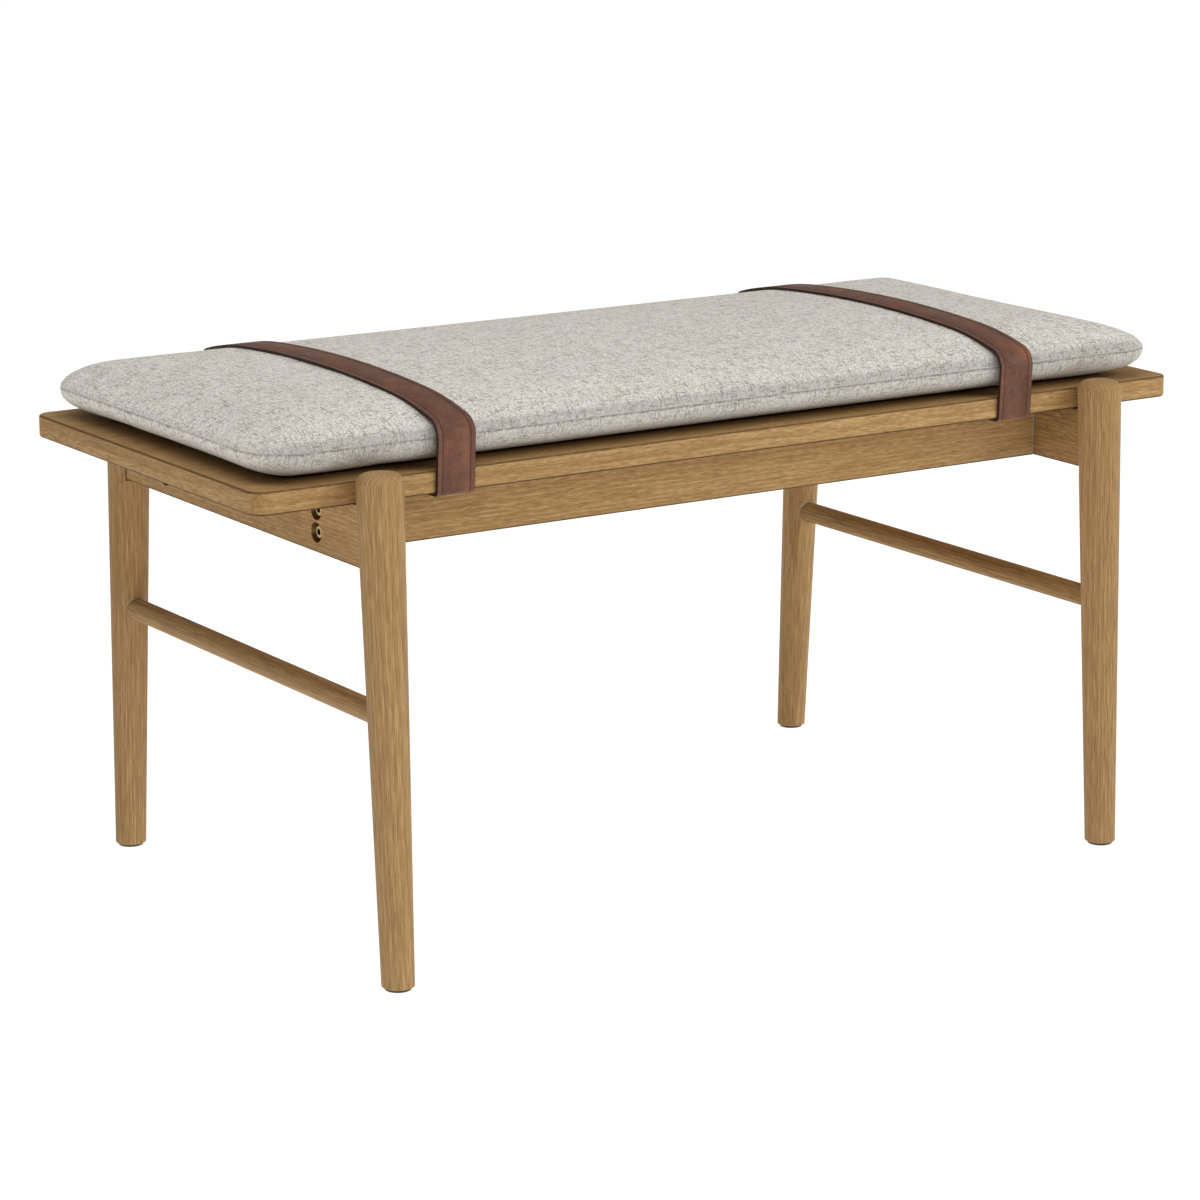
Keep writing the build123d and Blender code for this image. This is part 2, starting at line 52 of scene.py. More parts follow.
def addNode(tree, kind, facts=None):
    # Adds a node and gives its outputs. A socket among its facts is linked to that input,
    # anything else is set there, or as the node's own setting. In a Map Range 1 and 2 are
    # the span that the value comes from, 3 and 4 the one that it goes to, 0 to 1 unless
    # given. In a Mix 6 and 7 are the colours under and over.
    made = tree.nodes.new("ShaderNode" + kind)
    for key, value in (facts or {}).items():
        if key == "stops":
            ramp = made.color_ramp.elements
            while len(ramp) < len(value):
                ramp.new(0.5)
            for stop, (place, code) in zip(ramp, value):
                stop.position, stop.color = place, linear(code)
        elif isinstance(value, bpy.types.NodeSocket):
            tree.links.new(value, made.inputs[key])
        elif isinstance(key, int) or key in made.inputs:
            made.inputs[key].default_value = value
        else:
            setattr(made, key, value)
    return made.outputs


def newMaterial(name):
    material = bpy.data.materials.new(name)
    material.use_nodes = True
    material.node_tree.nodes.clear()
    return material, material.node_tree


def dressed(piece, material):
    piece.data.materials.clear()
    piece.data.materials.append(material)


def onlyThis(piece):
    if bpy.context.object and bpy.context.object.mode != "OBJECT":
        bpy.ops.object.mode_set(mode="OBJECT")
    bpy.ops.object.select_all(action="DESELECT")
    piece.select_set(True)
    bpy.context.view_layer.objects.active = piece


def applyAll(piece):
    onlyThis(piece)
    for modifier in list(piece.modifiers):
        bpy.ops.object.modifier_apply(modifier=modifier.name)


def pick(piece, test, kind="vertices"):  # selects what passes the test, in edit mode
    bpy.ops.object.mode_set(mode="OBJECT")
    for part in (piece.data.polygons, piece.data.edges, piece.data.vertices):
        part.foreach_set("select", [False] * len(part))
    for item in getattr(piece.data, kind):
        item.select = bool(test(item))
    bpy.ops.object.mode_set(mode="EDIT")
    bpy.ops.mesh.select_mode(type="VERT" if kind == "vertices" else "FACE")


# Camera, at the photograph's angle

cameraFacts = {
    "place": (-1.8990, -2.8733, 1.0574),
    "turn": 33.227,  # degrees from straight ahead, to the right
    "dip": 13.597,  # degrees below the horizon
    "lens": 120.14,
    "sensor": 36.0,
    "farthest": 200,
}
bpy.ops.object.camera_add(location=cameraFacts["place"])
camera = bpy.context.object
camera.name = "studioCamera"
camera.rotation_euler = Euler(
    (math.radians(90 - cameraFacts["dip"]), 0, -math.radians(cameraFacts["turn"]))
)
camera.data.lens = cameraFacts["lens"]
camera.data.sensor_width = cameraFacts["sensor"]
camera.data.clip_end = cameraFacts["farthest"]
scene.camera = camera


# Studio: a pale floor, an even sky and two soft boxes

studio = {
    "floorSize": 80,
    "floorColour": "#A8A8A7",
    "floorGlow": 0.87,  # a lit table: pale, and with hardly a shadow under the bench
    "sky": 0.31,
    "softBoxes": [
        # name, place, aimed at, size, power
        ("overhead", (-0.75, -0.6, 3.1), (0, 0, 0.3), 3.0, 43),
        ("front", (4.5, -4.7, 3.7), (0, 0, 0.35), 3.6, 216),
    ],
}
scene.view_settings.view_transform = "Standard"
scene.view_settings.look = "None"
world = bpy.data.worlds.new("studioSky")
world.use_nodes = True
world.node_tree.nodes["Background"].inputs["Color"].default_value = linear("#FFFFFF")
world.node_tree.nodes["Background"].inputs["Strength"].default_value = studio["sky"]
scene.world = world
for name, place, aim, size, power in studio["softBoxes"]:
    bpy.ops.object.light_add(type="AREA", location=place)
    lamp = bpy.context.object
    lamp.name = name
    lamp.data.size = size
    lamp.data.energy = power
    lamp.rotation_euler = (Vector(aim) - Vector(place)).to_track_quat("-Z", "Y").to_euler()

bpy.ops.mesh.primitive_plane_add(size=studio["floorSize"], location=(0, 0, 0))
floor = bpy.context.object
floor.name = "studioFloor"
# matt opal acrylic, lit from below: nothing shines in it, so it stays even and pale
litTable, tree = newMaterial("litOpalAcrylic")
surface = addNode(tree, "BsdfPrincipled", {
    "Base Color": linear(studio["floorColour"]),
    "Roughness": 0.9,
    "Specular IOR Level": 0.1,
    "Emission Color": linear("#FFFFFF"),
    "Emission Strength": studio["floorGlow"],
})[0]
addNode(tree, "OutputMaterial", {"Surface": surface})
dressed(floor, litTable)
print("camera and studio done")


# Oak

oak = {
    "light": "#CFAF7B",
    "middle": "#A88555",
    "dark": "#7E5F3A",
    "pore": "#4E3419",
    "fleck": "#DCC192",
    "rose": "#98693F",
    "glue": "#A9A594",
    "ringSpacing": 3.2 * mm,
    "streakWidth": 2.6 * mm,
    "fibreWidth": 1.05 * mm,  # like the pores, coarser than real ones, which wouldn't show
    "patchWidth": 41.67 * mm,
    "poreSpacing": 1.7 * mm,
    "fleckSpacing": 2.1 * mm,
    "dashWidth": 1.1 * mm,  # a pore or fleck is this long for each unit of stretch
    "wander": 5.0 * mm,
    "wanderLength": 90 * mm,
    "ringShare": 0.15,  # shares of the tone that rings and patches make
    "patchShare": 0.36,
    "toneShift": -0.28,
    # the painted crevice shade: how far it reaches, and how dark it goes
    "creviceReach": 2.5 * mm,
    "creviceDark": 0.38,
}
figures = {
    # how much longer than wide the streaks are, contrast, streaks, fibres, how much finer
    # than on a board, how short the fibres are, how dark, gloss
    "board": (15, 0.76, 0.42, 0.66, 0.95, 1.8, 0.0, 0.14),
    "apron": (16, 0.74, 0.4, 0.68, 0.85, 1.5, -0.05, 0.16),
    # shaded copies for the right side apron and stretcher: their darker tone is painted shade
    "shadedApron": (16, 0.8, 0.4, 0.68, 0.85, 1.5, 0.1, 0.14),
    "turned": (38, 0.82, 0.2, 0.9, 0.5, 0.8, 0.035, 0.24),
    "shadedTurned": (38, 0.82, 0.2, 0.9, 0.5, 0.8, 0.12, 0.12),
}


def oakWood(name, along, place, figure, endsAlong=None, arris=0.0, glue=None, stainAndShade=None):
    # Plain-sawn oak, stained, sanded fine and lacquered matt: open pores read as short dark
    # dashes along the grain and rays as pale ones, over streaks and faint growth rings.
    # Stain has gathered in the joints, the arrises are darker, painted shade darkens lower edges
    # and crevices, and a grey hairline of glue shows.
    stretch, contrast, streakShare, fibreShare, fine, shortness, depth, gloss = figures[figure]
    material, tree = newMaterial(name)
    coordinate = addNode(tree, "TexCoord")
    normal = addNode(tree, "SeparateXYZ", {0: coordinate["Normal"]})
    grains = [addNode(tree, "Mapping", {
        "vector_type": "TEXTURE",
        "Vector": coordinate["Object"],
        "Location": place,
        "Rotation": Vector((1, 0, 0)).rotation_difference(Vector(direction)).to_euler("XYZ"),
        "Scale": (stretch, 1, 1),
    })[0] for direction in (along, endsAlong) if direction]
    grain = grains[0]
    if endsAlong:  # the end faces show grain that runs across the board
        isEnd = addNode(tree, "Math", {"operation": "ABSOLUTE", 0: normal["X"]})[0]
        isEnd = addNode(tree, "Math", {"operation": "GREATER_THAN", 0: isEnd, 1: 0.7})[0]
        grain = addNode(tree, "Mix", {"data_type": "VECTOR", 0: isEnd, 4: grain, 5: grains[1]})[1]
    drift = addNode(tree, "TexNoise", {
        "Scale": 1 / oak["wanderLength"], "Detail": 2.0, "Vector": grain,
    })["Color"]
    drift = addNode(tree, "VectorMath", {"operation": "SUBTRACT", 0: drift, 1: (0.5, 0.5, 0.5)})[0]
    drift = addNode(tree, "VectorMath", {"operation": "SCALE", 0: drift, "Scale": oak["wander"]})[0]
    wavy = addNode(tree, "VectorMath", {"operation": "ADD", 0: grain, 1: drift})[0]
    shorter = addNode(tree, "VectorMath", {
        "operation": "MULTIPLY", 0: wavy, 1: (shortness, 1, 1),
    })[0]

    rings = addNode(tree, "TexWave", {
        "wave_type": "RINGS",
        "rings_direction": "X",
        "wave_profile": "SAW",
        "Scale": math.pi / (10 * oak["ringSpacing"]),
        "Distortion": 2.5,
        "Detail": 2.0,
        "Detail Scale": 1.5,
        "Vector": wavy,
    })["Fac"]
    streaks = addNode(tree, "TexNoise", {
        "Scale": 1 / (oak["streakWidth"] * fine), "Detail": 2.0, "Vector": wavy,
    })[0]
    fibre = addNode(tree, "TexNoise", {
        "Scale": 1 / (oak["fibreWidth"] * fine), "Detail": 2.0, "Roughness": 0.65,
        "Vector": shorter,
    })[0]
    patches = addNode(tree, "TexNoise", {
        "Scale": 1 / oak["patchWidth"], "Detail": 2.0, "Vector": wavy,
    })
    tone = oak["toneShift"]
    for layer, share in (
        (rings, oak["ringShare"]), (streaks, streakShare),
        (patches[0], oak["patchShare"]), (fibre, fibreShare),
    ):
        tone = addNode(tree, "Math", {"operation": "MULTIPLY_ADD", 0: layer, 1: share, 2: tone})[0]
    middle = 0.5 - depth
    tone = addNode(tree, "MapRange", {
        0: tone, 3: middle - 0.5 * contrast, 4: middle + 0.5 * contrast,
    })[0]
    colour = addNode(tree, "ValToRGB", {
        "stops": [(0.28, oak["dark"]), (0.52, oak["middle"]), (0.76, oak["light"])], 0: tone,
    })[0]
    blush = addNode(tree, "MapRange", {0: patches["Color"], 1: 0.45, 2: 0.75, 4: 0.3})[0]
    colour = addNode(tree, "Mix", {
        "data_type": "RGBA", 0: blush, 6: colour, 7: linear(oak["rose"]),
    })[2]

    dashes = {}
    for kind, low, high, strength in (("fleck", 0.16, 0.34, 0.5), ("pore", 0.22, 0.46, 0.75)):
        spacing = oak[kind + "Spacing"] * fine
        squeezed = addNode(tree, "VectorMath", {
            "operation": "MULTIPLY", 0: wavy, 1: (spacing / oak["dashWidth"], 1, 1),
        })[0]
        cells = addNode(tree, "TexVoronoi", {"Scale": 1 / spacing, "Vector": squeezed})["Distance"]
        reach = addNode(tree, "MapRange", {0: rings, 3: low, 4: high})[0]  # more by a ring
        dashes[kind] = addNode(tree, "MapRange", {
            "interpolation_type": "SMOOTHSTEP", 0: cells, 2: reach, 3: 1.0, 4: 0.0,
        })[0]
        amount = addNode(tree, "Math", {
            "operation": "MULTIPLY", 0: dashes[kind], 1: strength * contrast,
        })[0]
        colour = addNode(tree, "Mix", {
            "data_type": "RGBA", 0: amount, 6: colour, 7: linear(oak[kind]),
        })[2]

    stainsAndShade = []
    # darker along the rounded arrises, unevenly with the fibre
    if arris:
        level = addNode(tree, "Math", {"operation": "MULTIPLY", 0: normal["Z"], 1: normal["Z"]})[0]
        upright = addNode(tree, "Math", {"operation": "SUBTRACT", 0: 1.0, 1: level})[0]
        slant = addNode(tree, "Math", {"operation": "MULTIPLY", 0: level, 1: upright})[0]
        slant = addNode(tree, "MapRange", {0: slant, 1: 0.01, 2: 0.12, 4: arris})[0]
        uneven = addNode(tree, "MapRange", {0: fibre, 1: 0.35, 2: 0.55, 3: 0.6})[0]
        stainsAndShade.append(addNode(tree, "Math", {"operation": "MULTIPLY", 0: slant, 1: uneven})[0])
    if stainAndShade:
        stainsAndShade.append(stainAndShade(tree, coordinate["Object"], normal["Z"]))
    # the arris darkening, and a piece's joint stain or painted lower-edge shade, go toward the pore
    # colour
    for amount in stainsAndShade:
        colour = addNode(tree, "Mix", {
            "data_type": "RGBA", 0: amount, 6: colour, 7: linear(oak["pore"]),
        })[2]
    # painted shade: the colour is darkened where ambient occlusion finds a crevice between parts
    paintedCreviceShade = addNode(tree, "AmbientOcclusion", {
        "samples": 8, "Distance": oak["creviceReach"],
    })["AO"]
    paintedCreviceShade = addNode(tree, "MapRange", {0: paintedCreviceShade, 1: 0.45, 2: 0.85, 3: oak["creviceDark"]})[0]
    colour = addNode(tree, "Mix", {
        "data_type": "RGBA", "blend_type": "MULTIPLY", 0: 1.0, 6: colour, 7: paintedCreviceShade,
    })[2]
    if glue:
        colour = addNode(tree, "Mix", {
            "data_type": "RGBA", 0: glue(tree, coordinate["Object"]), 6: colour,
            7: linear(oak["glue"]),
        })[2]
    relief = addNode(tree, "Math", {"operation": "SUBTRACT", 0: fibre, 1: dashes["pore"]})[0]
    surface = addNode(tree, "BsdfPrincipled", {
        "Base Color": colour,
        "Roughness": addNode(tree, "MapRange", {0: fibre, 3: 0.5, 4: 0.7})[0],
        "IOR": 1.5,
        "Specular IOR Level": gloss,
        "Normal": addNode(tree, "Bump", {
            "Strength": 0.4, "Distance": 0.15 * mm, "Height": relief,
        })[0],
    })[0]
    addNode(tree, "OutputMaterial", {"Surface": surface})
    return material


joints = {
    "tilt": 19.0 / 410.0,
    "footY": 236.5 * mm,
    "legX": 365.0 * mm,
    "legTopY": 219.0 * mm,  # a leg's axis at the aprons' height
    "legLowY": 226.0 * mm,  # and at the stretcher's height
    "stretcherHeight": 222.0 * mm,
    "stretcherRadius": 9.5 * mm,
    "longApronEnd": 355.5 * mm,
    "apronHalf": 9.5 * mm,
    "apronBottom": 340.0 * mm,
    "boardBottom": 391.0 * mm,
    "glueWidth": 2.0 * mm,
    # from where to where the dark fades: stain beside an apron's end and below it, painted shade up
    # a lower edge
    "besideEnd": (0.7 * mm, 1.3 * mm),
    "belowEnd": (0.8 * mm, 1.4 * mm),
    "upEdge": (0.7 * mm, 1.8 * mm),
}


def glueRing(tree, place):  # on a leg's inner side, round its stretcher
    parts = addNode(tree, "SeparateXYZ", {0: place})
    height, radius = joints["stretcherHeight"], joints["stretcherRadius"]
    wide = joints["glueWidth"]
    fromAxis = addNode(tree, "VectorMath", {"operation": "ABSOLUTE", 0: place})[0]
    fromAxis = addNode(tree, "VectorMath", {"operation": "MULTIPLY", 0: fromAxis, 1: (1, 0, 1)})[0]
    away = addNode(tree, "VectorMath", {
        "operation": "DISTANCE", 0: fromAxis, 1: (joints["legX"], 0, height),
    })["Value"]
    near = addNode(tree, "MapRange", {
        0: away, 1: radius + 0.6 * wide, 2: radius + wide, 3: 0.6, 4: 0.0,
    })[0]
    depth = addNode(tree, "Math", {"operation": "ABSOLUTE", 0: parts["Y"]})[0]
    inside = addNode(tree, "Math", {"operation": "LESS_THAN", 0: depth, 1: joints["legLowY"]})[0]
    near = addNode(tree, "Math", {"operation": "MULTIPLY", 0: near, 1: inside})[0]
    # it shows most on top of the stretcher
    upper = addNode(tree, "MapRange", {
        0: parts["Z"], 1: height - 3 * mm, 2: height + 7 * mm, 3: 0.12,
    })[0]
    return addNode(tree, "Math", {"operation": "MULTIPLY", 0: near, 1: upper})[0]


def glueLine(tree, place):  # at each end of a long apron
    along = addNode(tree, "SeparateXYZ", {0: place})["X"]
    along = addNode(tree, "Math", {"operation": "ABSOLUTE", 0: along})[0]
    end, wide = joints["longApronEnd"], joints["glueWidth"]
    return addNode(tree, "MapRange", {0: along, 1: end - wide, 2: end - 0.6 * wide, 4: 0.75})[0]


def jointStain(tree, place, facingUp):  # on a leg's inner side, round its side apron's end
    half, low = joints["apronHalf"], joints["apronBottom"]
    beside, below = joints["besideEnd"], joints["belowEnd"]
    parts = addNode(tree, "VectorMath", {"operation": "ABSOLUTE", 0: place})[0]
    parts = addNode(tree, "SeparateXYZ", {0: parts})
    across = addNode(tree, "Math", {"operation": "SUBTRACT", 0: parts["X"], 1: joints["legX"]})[0]
    across = addNode(tree, "Math", {"operation": "ABSOLUTE", 0: across})[0]
    amount = addNode(tree, "MapRange", {
        0: across, 1: half + beside[0], 2: half + beside[1], 3: 0.8, 4: 0.0,
    })[0]
    for limit in (
        addNode(tree, "MapRange", {0: parts["Z"], 1: low - below[1], 2: low - below[0]}),
        addNode(tree, "Math", {"operation": "LESS_THAN", 0: parts["Y"], 1: joints["legTopY"]}),
        addNode(tree, "Math", {"operation": "LESS_THAN", 0: parts["Z"], 1: joints["boardBottom"]}),
    ):
        amount = addNode(tree, "Math", {"operation": "MULTIPLY", 0: amount, 1: limit[0]})[0]
    return amount


def lowEdgeShade(level):  # painted shade along the lower edge of a board's sides, but not under it
    fade = joints["upEdge"]

    def amount(tree, place, facingUp):
        line = addNode(tree, "SeparateXYZ", {0: place})["Z"]
        line = addNode(tree, "MapRange", {
            0: line, 1: level + fade[0], 2: level + fade[1], 3: 0.88, 4: 0.0,
        })[0]
        flat = addNode(tree, "Math", {"operation": "MULTIPLY", 0: facingUp, 1: facingUp})[0]
        side = addNode(tree, "MapRange", {0: flat, 1: 0.8, 2: 0.95, 3: 1.0, 4: 0.0})[0]
        return addNode(tree, "Math", {"operation": "MULTIPLY", 0: line, 1: side})[0]
    return amount


# each piece has a place of its own in the log, so no two have the same grain
# painted shade along the lower edges of the board's and the aprons' sides
boardLowShade, apronLowShade = lowEdgeShade(joints["boardBottom"]), lowEdgeShade(joints["apronBottom"])
dressed(nodes["seat_board"], oakWood(
    "oakBoard", (1, 0, 0), (0.31, 0.05, 0.331), "board",
    endsAlong=(0, 1, 0), arris=0.85, stainAndShade=boardLowShade,
))
# on the right, the side apron and stretcher take the shaded copies, which carry painted shade
for seed, (sideName, side) in enumerate((("left", -1), ("right", 1))):
    dressed(nodes["side_apron_" + sideName], oakWood(
        "oakSideApron" + sideName.title(), (0, 1, 0), (side * 0.41, 0.9 + seed, 0.43),
        "apron" if side < 0 else "shadedApron", arris=0.8, stainAndShade=apronLowShade,
    ))
    dressed(nodes["stretcher_" + sideName], oakWood(
        "oakStretcher" + sideName.title(), (0, 1, 0), (side * 0.35, 1.7 + seed, 0.2),
        "turned" if side < 0 else "shadedTurned",
    ))
    for rowName, row in (("front", -1), ("back", 1)):
        pith = (side * (joints["legX"] + 12 * mm), row * (joints["footY"] - 6 * mm), 0.37 * seed)
        dressed(nodes[f"leg_{rowName}_{sideName}"], oakWood(
            f"oakLeg{rowName.title()}{sideName.title()}", (0, -row * joints["tilt"], 1), pith,
            "turned", glue=glueRing, stainAndShade=jointStain,
        ))
for seed, (rowName, row) in enumerate((("front", -1), ("back", 1))):
    dressed(nodes["long_apron_" + rowName], oakWood(
        "oakLongApron" + rowName.title(), (1, 0, 0), (0.77 + seed, row * 0.1, 0.41),
        "apron", arris=0.8, glue=glueLine, stainAndShade=apronLowShade,
    ))
print("oak done")


# Metal and plastic parts

metals = {
    # slot: name, how metallic, colour, roughness, tool line spacing, how dark the tarnish is
    # (the lines are drawn far apart, because real ones are too fine to show)
    "bolt_brass": ("turnedBrass", 1.0, "#C2B079", 0.32, 0.5 * mm, 0.45),
    "washer_bronze": ("antiqueBronze", 1.0, "#6E5B3D", 0.42, 0.8 * mm, 0.6),
    "zinc_steel": ("zincPlatedSteel", 1.0, "#B9BCBE", 0.38, 0.6 * mm, 0.3),
    "zip_metal": ("enamelledZinc", 0.0, "#A8A6A0", 0.36, 0.9 * mm, 0.2),
}
tarnishFacts = {"colour": "#1D1811", "spotSpacing": 2.381 * mm, "hollowReach": 3 * mm}


def metalFinish(name, metallic, colour, roughness, spacing, tarnish):
    # Turned, plated or enamelled metal: fine tool lines break up the gloss, and the low
    # places are duller and darker.
    material, tree = newMaterial(name)
    place = addNode(tree, "TexCoord")["Object"]
    spots = addNode(tree, "TexNoise", {
        "Scale": 1 / tarnishFacts["spotSpacing"], "Detail": 4.0, "Vector": place,
    })[0]
    lines = addNode(tree, "TexNoise", {"Scale": 1 / spacing, "Detail": 2.0, "Vector": place})[0]
    hollow = addNode(tree, "AmbientOcclusion", {
        "samples": 6, "Distance": tarnishFacts["hollowReach"],
    })["AO"]
    hollow = addNode(tree, "Math", {"operation": "MULTIPLY", 0: hollow, 1: hollow})[0]
    cleanAndPaintedLight = addNode(tree, "MapRange", {0: spots, 1: 0.35, 2: 0.7, 3: 1 - tarnish})[0]
    cleanAndPaintedLight = addNode(tree, "Math", {"operation": "MULTIPLY", 0: cleanAndPaintedLight, 1: hollow})[0]
    tint = addNode(tree, "Mix", {
        "data_type": "RGBA", 0: cleanAndPaintedLight, 6: linear(tarnishFacts["colour"]), 7: linear(colour),
    })[2]
    surface = addNode(tree, "BsdfPrincipled", {
        "Base Color": tint,
        "Metallic": metallic,
        "Roughness": addNode(tree, "MapRange", {
            0: lines, 3: roughness - 0.08, 4: roughness + 0.14,
        })[0],
        "Normal": addNode(tree, "Bump", {
            "Strength": 0.25, "Distance": 0.05 * mm, "Height": lines,
        })[0],
    })[0]
    addNode(tree, "OutputMaterial", {"Surface": surface})
    return material


finishes = {slot: metalFinish(*facts) for slot, facts in metals.items()}
for nodeName, slot in (
    ("frame_bolts", "bolt_brass"), ("frame_bolt_washers", "washer_bronze"),
    ("barrel_nuts", "zinc_steel"), ("board_screws", "zinc_steel"),
    ("strap_screws", "bolt_brass"), ("strap_washers", "washer_bronze"),
    ("zip_slider", "zip_metal"),
):
    dressed(nodes[nodeName], finishes[slot])

glideFacts = {"dark": "#3B3026", "light": "#4A3D31", "grit": 1.111 * mm}
# moulded dark nylon: waxy, with the texture of the mould, drawn coarse enough to show
nylonGlide, tree = newMaterial("nylonGlide")
speck = addNode(tree, "TexNoise", {
    "Scale": 1 / glideFacts["grit"], "Detail": 3.0, "Vector": addNode(tree, "TexCoord")["Object"],
})[0]
surface = addNode(tree, "BsdfPrincipled", {
    "Base Color": addNode(tree, "ValToRGB", {
        "stops": [(0.3, glideFacts["dark"]), (0.7, glideFacts["light"])], 0: speck,
    })[0],
    "Roughness": 0.5,
    "IOR": 1.53,
    "Normal": addNode(tree, "Bump", {
        "Strength": 0.2, "Distance": 0.05 * mm, "Height": speck,
    })[0],
})[0]
addNode(tree, "OutputMaterial", {"Surface": surface})
for sideName in ("left", "right"):
    for rowName in ("front", "back"):
        dressed(nodes[f"foot_glide_{rowName}_{sideName}"], nylonGlide)

zipFacts = {
    "middle": 431.1 * mm,
    "toothPitch": 1.6 * mm,
    "coilHalf": 1.5 * mm,
    "tapeThread": 1.111 * mm,  # drawn coarser than real ones, which are too fine to show
    "tape": ("#A39E93", "#C3BEB3"),
    # the coil's dark and light: painted shade between its turns, painted light on them
    "coil": ("#56534C", "#A29D92"),
}
# moulded nylon coil zip on woven tape: the coil's turns show as ribs, the tape is plain
nylonZip, tree = newMaterial("nylonCoilZip")
place = addNode(tree, "TexCoord")["Object"]
turns = addNode(tree, "TexWave", {
    "Scale": math.pi / (10 * zipFacts["toothPitch"]), "Vector": place,
})["Fac"]
threads = addNode(tree, "TexNoise", {
    "Scale": 1 / zipFacts["tapeThread"], "Detail": 2.0, "Vector": place,
})[0]
level = addNode(tree, "SeparateXYZ", {0: place})["Z"]
level = addNode(tree, "Math", {"operation": "SUBTRACT", 0: level, 1: zipFacts["middle"]})[0]
level = addNode(tree, "Math", {"operation": "ABSOLUTE", 0: level})[0]
onCoil = addNode(tree, "MapRange", {
    0: level, 1: zipFacts["coilHalf"] - 0.2 * mm, 2: zipFacts["coilHalf"], 3: 1.0, 4: 0.0,
})[0]
# painted shade and painted light on the coil, following its turns
tape, coil = [addNode(tree, "Mix", {
    "data_type": "RGBA", 0: pattern, 6: linear(zipFacts[part][0]), 7: linear(zipFacts[part][1]),
})[2] for part, pattern in (("tape", threads), ("coil", turns))]
ribs = addNode(tree, "Math", {"operation": "MULTIPLY", 0: onCoil, 1: turns})[0]
surface = addNode(tree, "BsdfPrincipled", {
    "Base Color": addNode(tree, "Mix", {"data_type": "RGBA", 0: onCoil, 6: tape, 7: coil})[2],
    "Roughness": 0.5,
    "IOR": 1.53,
    "Specular IOR Level": 0.3,
    "Normal": addNode(tree, "Bump", {"Strength": 0.6, "Distance": 0.5 * mm, "Height": ribs})[0],
})[0]
addNode(tree, "OutputMaterial", {"Surface": surface})
dressed(nodes["zip_coil"], nylonZip)
print("metal and plastic done")


# Cushion: the foam's form, swollen by a short cloth run, then sewn along its widest line

cushionFacts = {
    "voxel": 6 * mm,
    "pressure": 4.0,
    "frames": 20,
    "swellCap": 2.1 * mm,
    "length": 921 * mm,
    "depth": 400 * mm,
    "corner": 46 * mm,
    "seam": 435.6 * mm,  # height of the seam above the floor
    "seamHalfWidth": 1.3 * mm,
    "seamDepth": 0.6 * mm,
    "upperPanel": 461 * mm,  # heights of the two panels' flat parts
    "lowerPanel": 410 * mm,
    "panelShift": 0.37,  # between the places in the cloth that the panels are cut from
}
cushion = bpy.data.objects.new("cushion", nodes["cushion_foam"].data.copy())
scene.collection.objects.link(cushion)
onlyThis(cushion)
bpy.ops.object.mode_set(mode="EDIT")
bpy.ops.mesh.select_all(action="SELECT")
bpy.ops.mesh.remove_doubles(threshold=0.01 * mm)
bpy.ops.object.mode_set(mode="OBJECT")
remesh = cushion.modifiers.new("evenMesh", "REMESH")
remesh.mode = "VOXEL"
remesh.voxel_size = cushionFacts["voxel"]
applyAll(cushion)


def placesOf(piece):
    found = np.zeros(len(piece.data.vertices) * 3)
    piece.data.vertices.foreach_get("co", found)
    return found.reshape(-1, 3)


restPlaces = placesOf(cushion)
cloth = cushion.modifiers.new("air", "CLOTH")
cloth.settings.use_pressure = True
cloth.settings.uniform_pressure_force = cushionFacts["pressure"]
cloth.settings.effector_weights.gravity = 0
cloth.collision_settings.use_collision = False
cloth.collision_settings.use_self_collision = False
for step in range(1, cushionFacts["frames"] + 1):
    scene.frame_set(step)
applyAll(cushion)
swollen = placesOf(cushion)
move = swollen - restPlaces
far = np.linalg.norm(move, axis=1, keepdims=True)
move *= np.minimum(1.0, cushionFacts["swellCap"] / np.maximum(far, 1e-9))
cushion.data.vertices.foreach_set("co", (restPlaces + move).ravel())
cushion.data.update()
smoother = cushion.modifiers.new("smoother", "SUBSURF")
smoother.levels = smoother.render_levels = 1
applyAll(cushion)
bpy.ops.object.mode_set(mode="EDIT")
for lift in (-1, 0, 1):
    bpy.ops.mesh.select_all(action="SELECT")
    bpy.ops.mesh.bisect(
        plane_co=(0, 0, cushionFacts["seam"] + lift * cushionFacts["seamHalfWidth"]),
        plane_no=(0, 0, 1),
    )
pick(cushion, lambda v: abs(v.co.z - cushionFacts["seam"]) < 0.02 * mm)
bpy.ops.transform.shrink_fatten(value=-cushionFacts["seamDepth"])
onlyThis(cushion)
bpy.ops.object.shade_smooth()
print("cushion:", len(cushion.data.polygons), "faces")


def threadPlaces(places):
    # Lays the cloth flat: each panel's points go out from the cushion's inner rectangle
    # by the length that they are away along the surface.
    halfX = cushionFacts["length"] / 2 - cushionFacts["corner"]
    halfY = cushionFacts["depth"] / 2 - cushionFacts["corner"]
    inner = np.clip(places[:, :2], (-halfX, -halfY), (halfX, halfY))
    out = places[:, :2] - inner
    away = np.linalg.norm(out, axis=1)
    heading = out / np.maximum(away, 1e-9)[:, None]
    upper = places[:, 2] >= cushionFacts["seam"]
    level = np.where(upper, cushionFacts["upperPanel"], cushionFacts["lowerPanel"])
    onRim = np.clip(away / (0.5 * cushionFacts["corner"]), 0, 1)
    along = np.hypot(away, np.abs(places[:, 2] - level) * onRim)
    flat = inner + heading * along[:, None]
    flat[~upper] += cushionFacts["panelShift"]
    return flat


cushion.data.uv_layers.new(name="threads")
flat = threadPlaces(placesOf(cushion))
corners = np.zeros(len(cushion.data.loops), dtype=np.int64)
cushion.data.loops.foreach_get("vertex_index", corners)
threadMap = cushion.data.uv_layers["threads"].uv
threadMap.foreach_set("vector", flat[corners].astype(np.float32).ravel())

